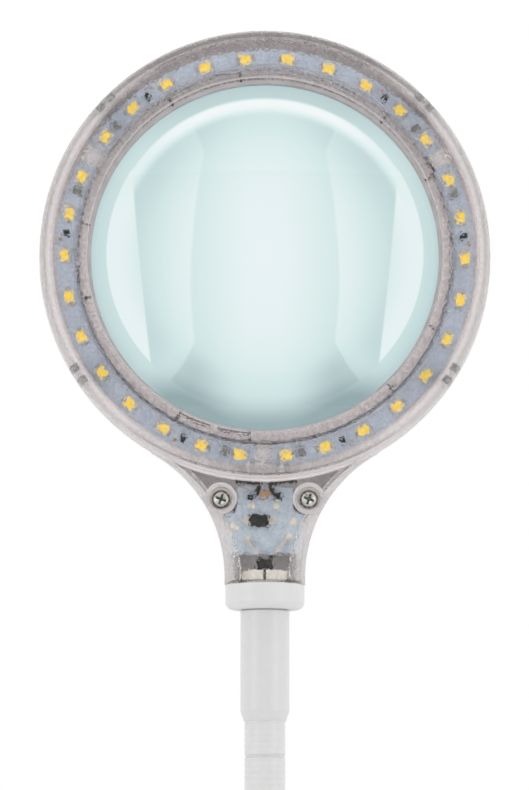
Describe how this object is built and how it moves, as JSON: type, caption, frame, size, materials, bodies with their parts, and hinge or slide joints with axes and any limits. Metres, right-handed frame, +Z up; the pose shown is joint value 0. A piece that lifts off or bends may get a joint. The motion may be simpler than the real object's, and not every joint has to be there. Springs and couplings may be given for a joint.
{
  "type": "magnifying lamp",
  "caption": "Round magnifying lens with a ring of light emitters under a clear cover, on a bendable neck that rises from a weighted round base with a push switch.",
  "frame": {"origin": "centre of the round base, on the table under the rubber feet", "axes": "+Z up along the neck, the lit face of the head looks along -Y, +X to the right as seen from that side"},
  "size_m": [0.17, 0.17, 0.558],
  "materials": {
    "shell_white": "smooth moulded plastic, white",
    "cover_clear": "clear plastic with a fine moulded grain",
    "clip_grey": "grey moulded hooks",
    "lens_glass": "polished optical glass, faint blue-green",
    "gasket_grey": "soft translucent grey ring",
    "retainer_white": "satin white plastic",
    "board_blue": "pale blue-white solder mask",
    "led_body": "cream lamp package",
    "led_yellow": "yellow phosphor gel",
    "terminal_tin": "dull tinned terminals",
    "chip_black": "black moulded chips",
    "chip_tan": "tan ceramic chips",
    "chip_grey": "grey chips",
    "solder": "solder and bare wire",
    "pad_cream": "flux-coated solder pads",
    "lead_dark": "dark cable insulation",
    "screw_steel": "bright plated steel",
    "ferrule_white": "white painted metal",
    "nut_steel": "zinc-plated steel",
    "base_white": "white moulded plastic",
    "plate_dark": "dark grey plastic floor",
    "ballast_iron": "cast iron weight",
    "foot_rubber": "black rubber",
    "switch_black": "black moulded plastic",
    "button_grey": "light grey plastic",
    "wire_red": "red wire insulation"
  },
  "bodies": {
    "base": {"lower_ferrule": "ferrule_white", "neck_washer": "nut_steel", "neck_nut": "nut_steel", "base_shell": "base_white", "base_plate": "plate_dark", "ballast": "ballast_iron", "rubber_feet": "foot_rubber", "base_screws": "screw_steel", "switch_housing": "switch_black", "dc_inlet": "switch_black", "base_wires": "wire_red", "neck_link_00": "ferrule_white"},
    "link_01": {"neck_link_01": "ferrule_white"},
    "link_02": {"neck_link_02": "ferrule_white"},
    "link_03": {"neck_link_03": "ferrule_white"},
    "link_04": {"neck_link_04": "ferrule_white"},
    "link_05": {"neck_link_05": "ferrule_white"},
    "link_06": {"neck_link_06": "ferrule_white"},
    "link_07": {"neck_link_07": "ferrule_white"},
    "link_08": {"neck_link_08": "ferrule_white"},
    "link_09": {"neck_link_09": "ferrule_white"},
    "link_10": {"neck_link_10": "ferrule_white"},
    "link_11": {"neck_link_11": "ferrule_white"},
    "link_12": {"neck_link_12": "ferrule_white"},
    "link_13": {"neck_link_13": "ferrule_white"},
    "link_14": {"neck_link_14": "ferrule_white"},
    "link_15": {"neck_link_15": "ferrule_white"},
    "ferrule": {"upper_ferrule": "ferrule_white", "neck_link_16": "ferrule_white"},
    "head": {"rear_shell": "shell_white", "front_cover": "cover_clear", "cover_clips": "clip_grey", "lens": "lens_glass", "lens_gasket": "gasket_grey", "lens_retainer": "retainer_white", "led_board_top": "board_blue", "led_board_right": "board_blue", "led_board_left": "board_blue", "led_packages": "led_body", "led_phosphor": "led_yellow", "led_terminals": "terminal_tin", "chip_resistors": "chip_black", "chip_capacitors": "chip_tan", "chip_diodes": "chip_grey", "board_jumpers": "solder", "driver_board": "board_blue", "driver_capacitor": "chip_tan", "driver_transistors": "chip_black", "driver_diode": "chip_black", "driver_pads": "pad_cream", "board_leads": "lead_dark", "head_screws": "screw_steel", "neck_collar": "shell_white", "head_cable": "lead_dark"},
    "button": {"power_button": "button_grey"}
  },
  "joints": [
    {"name": "neck_pitch_01", "type": "hinge", "parent": "base", "child": "link_01", "pos_m": [0, 0.034, 0.0715], "axis": [1, 0, 0], "range_deg": [-7.5, 7.5]},
    {"name": "neck_sway_02", "type": "hinge", "parent": "link_01", "child": "link_02", "pos_m": [0, 0.034, 0.0905], "axis": [0, 1, 0], "range_deg": [-7.5, 7.5]},
    {"name": "neck_pitch_03", "type": "hinge", "parent": "link_02", "child": "link_03", "pos_m": [0, 0.034, 0.1095], "axis": [1, 0, 0], "range_deg": [-7.5, 7.5]},
    {"name": "neck_sway_04", "type": "hinge", "parent": "link_03", "child": "link_04", "pos_m": [0, 0.034, 0.1285], "axis": [0, 1, 0], "range_deg": [-7.5, 7.5]},
    {"name": "neck_pitch_05", "type": "hinge", "parent": "link_04", "child": "link_05", "pos_m": [0, 0.034, 0.1475], "axis": [1, 0, 0], "range_deg": [-7.5, 7.5]},
    {"name": "neck_sway_06", "type": "hinge", "parent": "link_05", "child": "link_06", "pos_m": [0, 0.034, 0.1665], "axis": [0, 1, 0], "range_deg": [-7.5, 7.5]},
    {"name": "neck_pitch_07", "type": "hinge", "parent": "link_06", "child": "link_07", "pos_m": [0, 0.034, 0.1855], "axis": [1, 0, 0], "range_deg": [-7.5, 7.5]},
    {"name": "neck_sway_08", "type": "hinge", "parent": "link_07", "child": "link_08", "pos_m": [0, 0.034, 0.2045], "axis": [0, 1, 0], "range_deg": [-7.5, 7.5]},
    {"name": "neck_pitch_09", "type": "hinge", "parent": "link_08", "child": "link_09", "pos_m": [0, 0.034, 0.2235], "axis": [1, 0, 0], "range_deg": [-11.25, 22.5]},
    {"name": "neck_sway_10", "type": "hinge", "parent": "link_09", "child": "link_10", "pos_m": [0, 0.034, 0.2425], "axis": [0, 1, 0], "range_deg": [-7.5, 7.5]},
    {"name": "neck_pitch_11", "type": "hinge", "parent": "link_10", "child": "link_11", "pos_m": [0, 0.034, 0.2615], "axis": [1, 0, 0], "range_deg": [-11.25, 22.5]},
    {"name": "neck_sway_12", "type": "hinge", "parent": "link_11", "child": "link_12", "pos_m": [0, 0.034, 0.2805], "axis": [0, 1, 0], "range_deg": [-7.5, 7.5]},
    {"name": "neck_pitch_13", "type": "hinge", "parent": "link_12", "child": "link_13", "pos_m": [0, 0.034, 0.2995], "axis": [1, 0, 0], "range_deg": [-11.25, 22.5]},
    {"name": "neck_sway_14", "type": "hinge", "parent": "link_13", "child": "link_14", "pos_m": [0, 0.034, 0.3185], "axis": [0, 1, 0], "range_deg": [-7.5, 7.5]},
    {"name": "neck_pitch_15", "type": "hinge", "parent": "link_14", "child": "link_15", "pos_m": [0, 0.034, 0.3375], "axis": [1, 0, 0], "range_deg": [-11.25, 22.5]},
    {"name": "neck_sway_16", "type": "hinge", "parent": "link_15", "child": "ferrule", "pos_m": [0, 0.034, 0.3565], "axis": [0, 1, 0], "range_deg": [-7.5, 7.5]},
    {"name": "head_swivel", "type": "hinge", "parent": "ferrule", "child": "head", "pos_m": [0, 0.034, 0.4], "axis": [0, 0, 1], "range_deg": [-90, 90]},
    {"name": "power_button_press", "type": "slide", "parent": "base", "child": "button", "axis": [0, 0, 1], "range_m": [-0.0012, 0], "stiffness_N_per_m": 900, "springref_m": 0.0012}
  ],
  "couplings": [
    {"joint": "neck_pitch_03", "follows": "neck_pitch_01", "ratio": 1},
    {"joint": "neck_sway_04", "follows": "neck_sway_02", "ratio": 1},
    {"joint": "neck_pitch_05", "follows": "neck_pitch_01", "ratio": 1},
    {"joint": "neck_sway_06", "follows": "neck_sway_02", "ratio": 1},
    {"joint": "neck_pitch_07", "follows": "neck_pitch_01", "ratio": 1},
    {"joint": "neck_sway_08", "follows": "neck_sway_02", "ratio": 1},
    {"joint": "neck_pitch_11", "follows": "neck_pitch_09", "ratio": 1},
    {"joint": "neck_sway_12", "follows": "neck_sway_10", "ratio": 1},
    {"joint": "neck_pitch_13", "follows": "neck_pitch_09", "ratio": 1},
    {"joint": "neck_sway_14", "follows": "neck_sway_10", "ratio": 1},
    {"joint": "neck_pitch_15", "follows": "neck_pitch_09", "ratio": 1},
    {"joint": "neck_sway_16", "follows": "neck_sway_10", "ratio": 1}
  ]
}
